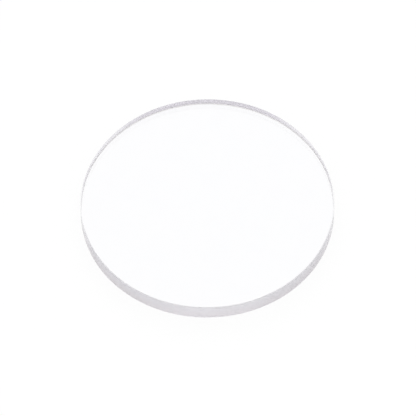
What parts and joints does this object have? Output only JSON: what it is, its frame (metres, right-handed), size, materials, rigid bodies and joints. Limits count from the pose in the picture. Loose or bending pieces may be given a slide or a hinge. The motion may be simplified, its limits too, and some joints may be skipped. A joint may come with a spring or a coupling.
{
  "type": "watch crystal",
  "caption": "Flat round watch crystal: a clear polished sapphire disc with a ground edge and small bevels, pressed into a watch case to cover the dial.",
  "frame": {"origin": "centre of the underside, the polished face that lies on the watch case's seat", "axes": "+Z along the disc's axis, out of the watch towards the wearer; X and Y lie in the underside and neither is special, because the disc is round"},
  "size_m": [0.028, 0.028, 0.002],
  "materials": {
    "sapphire": "polished"
  },
  "bodies": {
    "root": {"crystal": "sapphire"}
  },
  "joints": []
}
